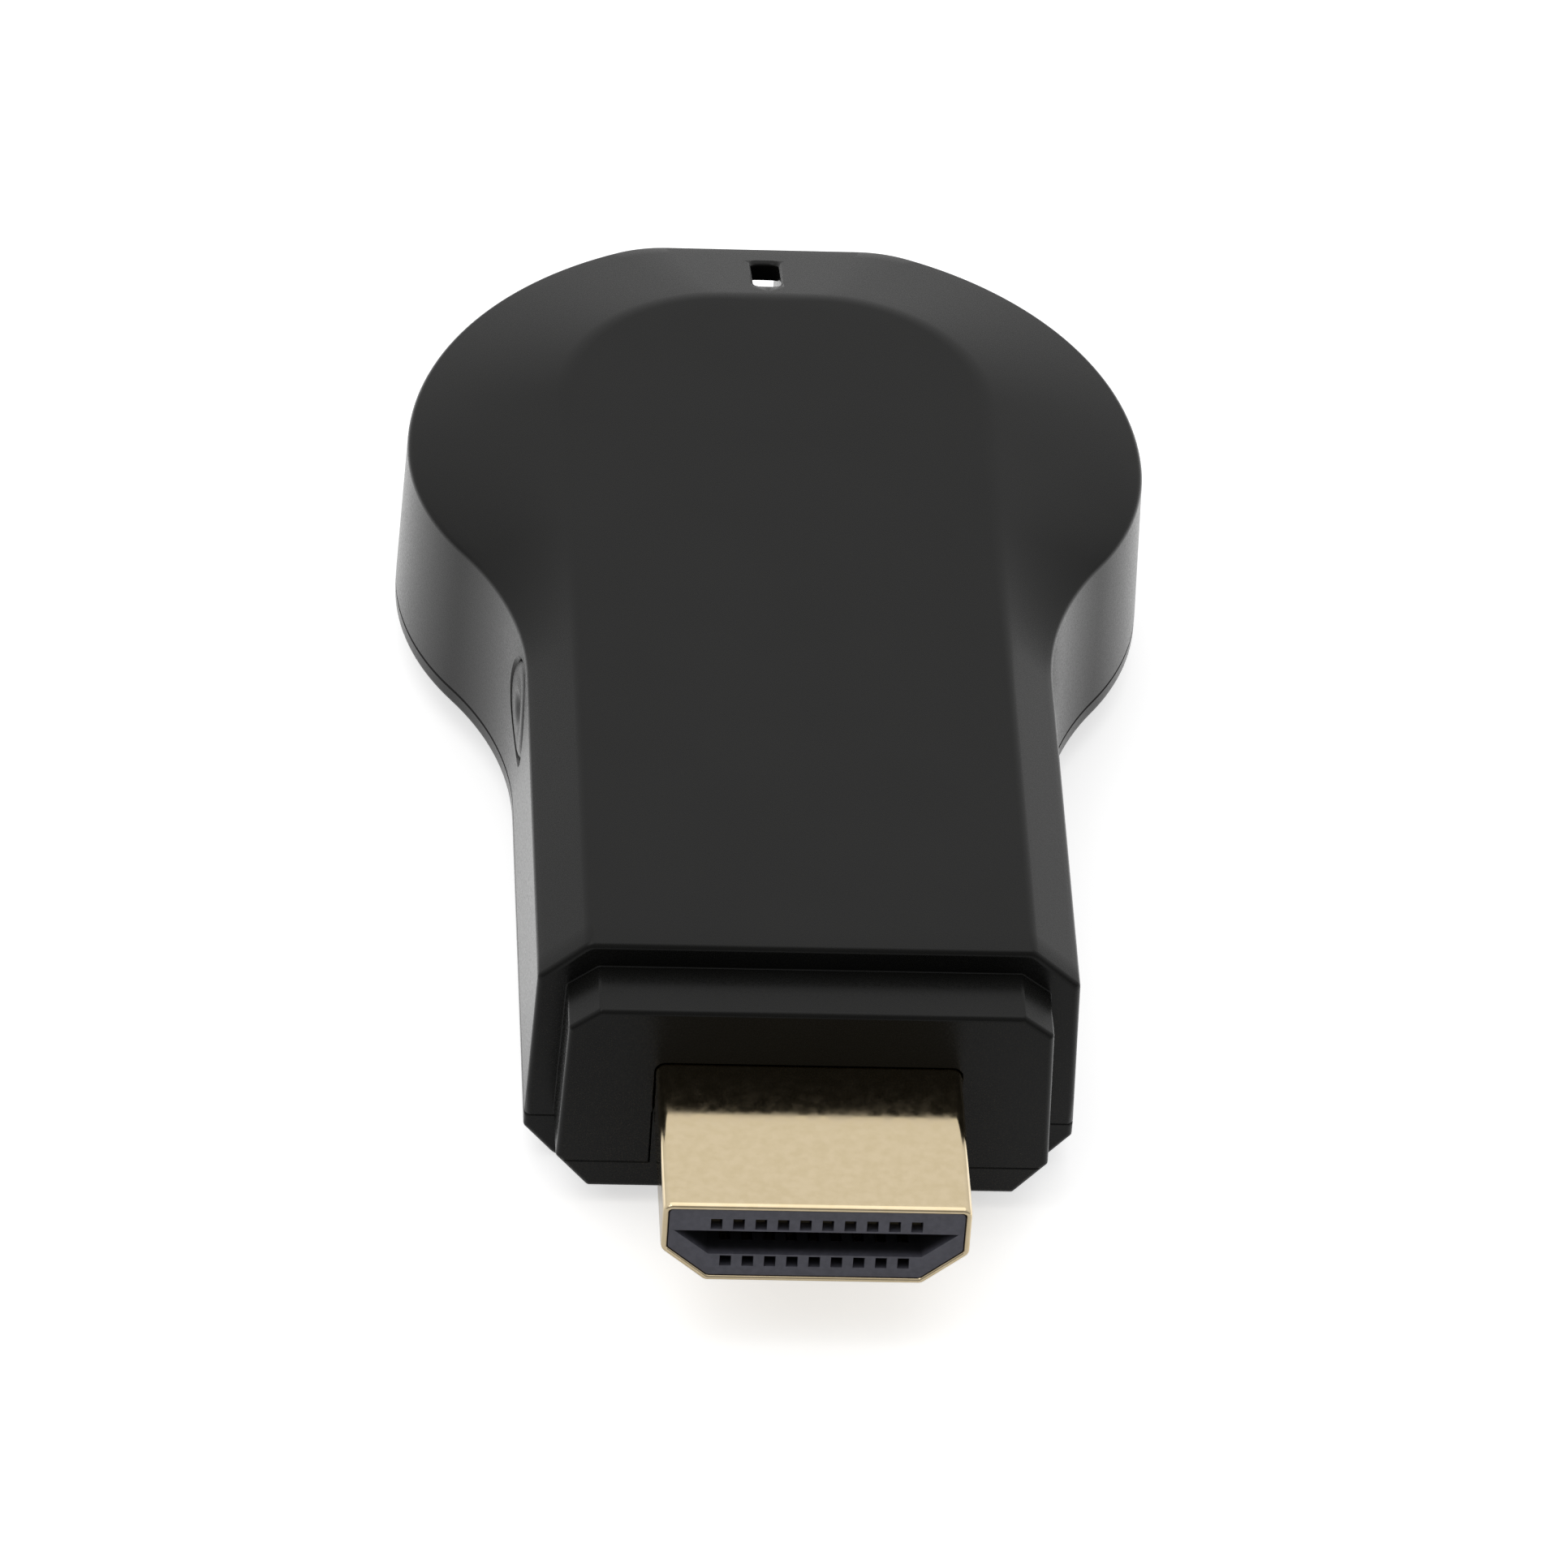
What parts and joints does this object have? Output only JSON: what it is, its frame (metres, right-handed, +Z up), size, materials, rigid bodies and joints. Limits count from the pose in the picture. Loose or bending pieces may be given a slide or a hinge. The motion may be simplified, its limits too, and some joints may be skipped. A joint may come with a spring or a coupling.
{
  "type": "wireless display dongle",
  "caption": "Stick-shaped wireless display receiver: an HDMI plug, a stepped collar, a straight neck and a round head cut flat at the end, with a mode button, a micro-USB power inlet and a lanyard eye.",
  "frame": {"origin": "on the surface that the stick rests on, under the middle of its whole length and width", "axes": "+X to the right seen from the plug, the micro-USB side; +Y from the plug tip to the head's flat far face; +Z up out of the raised flat strip"},
  "size_m": [0.0358, 0.0688, 0.0127],
  "materials": {
    "black_plastic": "fine satin black ABS",
    "gold_plate": "smooth gold plating",
    "grey_moulding": "dark grey moulding",
    "circuit_board": "green solder mask",
    "chip_black": "moulded epoxy",
    "sheet_steel": "tinned sheet steel",
    "spreader_aluminium": "rolled aluminium",
    "thermal_silicone": "soft silicone pad",
    "ferrite_grey": "pressed ferrite",
    "tantalum_yellow": "moulded case",
    "ceramic_tan": "fired ceramic",
    "resistor_black": "coated ceramic",
    "antenna_copper": "copper under mask"
  },
  "bodies": {
    "casing": {"top_shell": "black_plastic", "bottom_shell": "black_plastic", "hdmi_shell": "gold_plate", "hdmi_insulator": "grey_moulding", "hdmi_contacts_upper": "gold_plate", "hdmi_contacts_lower": "gold_plate", "main_board": "circuit_board", "processor": "chip_black", "thermal_pad": "thermal_silicone", "heat_spreader": "spreader_aluminium", "memory_chip": "chip_black", "wifi_shield_can": "sheet_steel", "wifi_chip": "chip_black", "wifi_crystal": "sheet_steel", "flash_chip": "chip_black", "printed_antenna": "antenna_copper", "power_inductors": "ferrite_grey", "voltage_regulator": "chip_black", "bulk_capacitors": "tantalum_yellow", "system_crystal": "sheet_steel", "ceramic_capacitors": "ceramic_tan", "chip_resistors": "resistor_black", "hdmi_esd_arrays": "chip_black", "switch_body": "chip_black", "switch_dome": "sheet_steel", "switch_cover": "sheet_steel", "switch_terminals": "sheet_steel", "micro_usb_shell": "sheet_steel", "micro_usb_insulator": "grey_moulding", "micro_usb_contacts": "gold_plate"},
    "mode_button": {"mode_button_cap": "black_plastic", "switch_plunger": "chip_black"}
  },
  "joints": [
    {"name": "mode_button_press", "type": "slide", "parent": "casing", "child": "mode_button", "axis": [1, 0, 0], "range_m": [0, 0.00025], "stiffness_N_per_m": 400, "springref_m": -0.0005}
  ]
}
